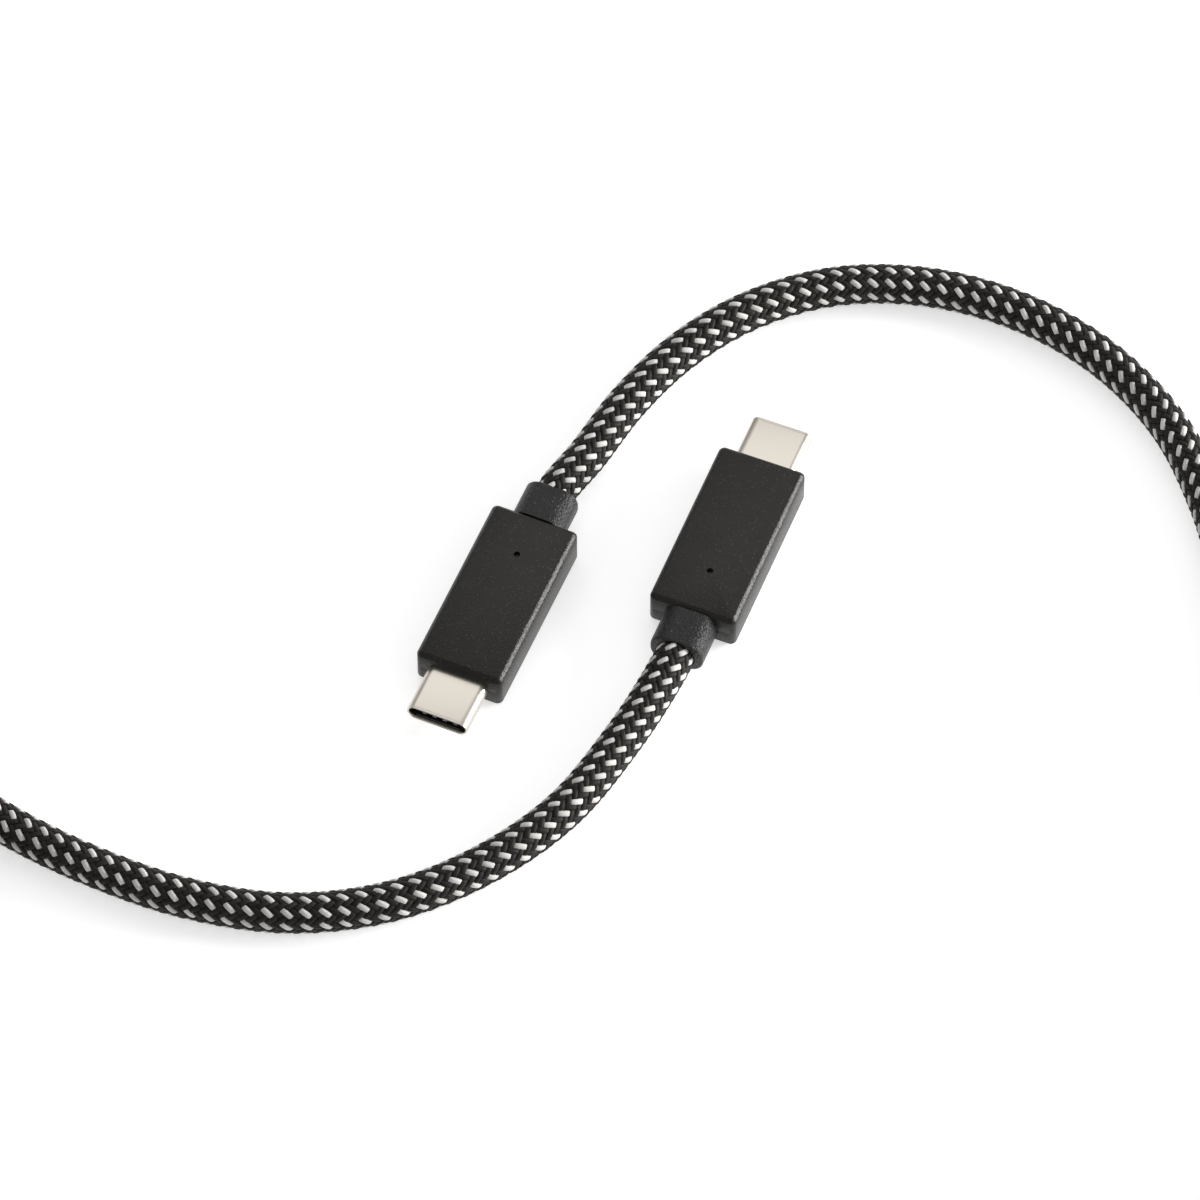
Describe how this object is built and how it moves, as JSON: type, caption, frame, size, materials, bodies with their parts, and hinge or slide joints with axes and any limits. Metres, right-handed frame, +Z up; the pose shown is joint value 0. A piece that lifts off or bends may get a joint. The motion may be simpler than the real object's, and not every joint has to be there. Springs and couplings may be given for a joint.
{
  "type": "charging cable",
  "caption": "Woven charging and data cable with the same reversible oval plug at each end, lying in loose curves with its spare length in a tied coil.",
  "frame": {"origin": "on the table midway between the two plugs: the bottom centre of the box round both plugs", "axes": "+Z up off the table, +X to the right and +Y away from a person who sees plug a on the left, with +X along the longer side of the box round both plugs"},
  "size_m": [0.2207, 0.1525, 0.0109],
  "materials": {
    "case_plastic": "fine-grained matte black",
    "relief_plastic": "spark-textured matte black",
    "shell_steel": "satin nickel plate",
    "insulator_plastic": "moulded black",
    "contact_gold": "gold flash",
    "spring_steel": "stamped spring steel",
    "board_laminate": "solder-resist green",
    "chip_black": "moulded epoxy",
    "capacitor_ceramic": "ceramic with tinned ends",
    "shield_tin": "tinned sheet",
    "crimp_copper": "bare copper alloy",
    "jacket_rubber": "extruded dull black",
    "woven_yarn": "round braid of black yarn with white tracers",
    "power_insulation": "red extruded insulation",
    "signal_insulation": "white extruded insulation",
    "tie_fabric": "black hook-and-loop strap"
  },
  "bodies": {
    "root": {"upper_case_a": "case_plastic", "lower_case_a": "case_plastic", "strain_relief_a": "relief_plastic", "plug_shell_a": "shell_steel", "insulator_upper_a": "insulator_plastic", "insulator_lower_a": "insulator_plastic", "contacts_upper_a": "contact_gold", "contacts_lower_a": "contact_gold", "ground_plate_a": "spring_steel", "ground_spring_upper_a": "spring_steel", "ground_spring_lower_a": "spring_steel", "circuit_board_a": "board_laminate", "marker_chip_a": "chip_black", "capacitors_a": "capacitor_ceramic", "shield_upper_a": "shield_tin", "shield_lower_a": "shield_tin", "crimp_ring_a": "crimp_copper", "jacket_end_a": "jacket_rubber", "sleeve_end_a": "woven_yarn", "power_wires_a": "power_insulation", "signal_wires_a": "signal_insulation", "upper_case_b": "case_plastic", "lower_case_b": "case_plastic", "strain_relief_b": "relief_plastic", "plug_shell_b": "shell_steel", "insulator_upper_b": "insulator_plastic", "insulator_lower_b": "insulator_plastic", "contacts_upper_b": "contact_gold", "contacts_lower_b": "contact_gold", "ground_plate_b": "spring_steel", "ground_spring_upper_b": "spring_steel", "ground_spring_lower_b": "spring_steel", "circuit_board_b": "board_laminate", "marker_chip_b": "chip_black", "capacitors_b": "capacitor_ceramic", "shield_upper_b": "shield_tin", "shield_lower_b": "shield_tin", "crimp_ring_b": "crimp_copper", "jacket_end_b": "jacket_rubber", "sleeve_end_b": "woven_yarn", "power_wires_b": "power_insulation", "signal_wires_b": "signal_insulation", "cord_run_a": "woven_yarn", "cord_run_b": "woven_yarn", "cord_coil": "woven_yarn", "coil_tie": "tie_fabric"},
    "latch_left_a": {"latch_left_a": "spring_steel"},
    "latch_right_a": {"latch_right_a": "spring_steel"},
    "latch_left_b": {"latch_left_b": "spring_steel"},
    "latch_right_b": {"latch_right_b": "spring_steel"}
  },
  "joints": [
    {"name": "latch_left_a_flex", "type": "hinge", "parent": "root", "child": "latch_left_a", "pos_m": [-0.01475, -0.01404, 0.0028], "axis": [0, 0, 1], "range_deg": [0, 1.6], "stiffness_Nm_per_rad": 0.5},
    {"name": "latch_right_a_flex", "type": "hinge", "parent": "root", "child": "latch_right_a", "pos_m": [-0.021, -0.01137, 0.0028], "axis": [0, 0, -1], "range_deg": [0, 1.6], "stiffness_Nm_per_rad": 0.5},
    {"name": "latch_left_b_flex", "type": "hinge", "parent": "root", "child": "latch_left_b", "pos_m": [0.0148, 0.01367, 0.0028], "axis": [0, 0, 1], "range_deg": [0, 1.6], "stiffness_Nm_per_rad": 0.5},
    {"name": "latch_right_b_flex", "type": "hinge", "parent": "root", "child": "latch_right_b", "pos_m": [0.02111, 0.01113, 0.0028], "axis": [0, 0, -1], "range_deg": [0, 1.6], "stiffness_Nm_per_rad": 0.5}
  ]
}
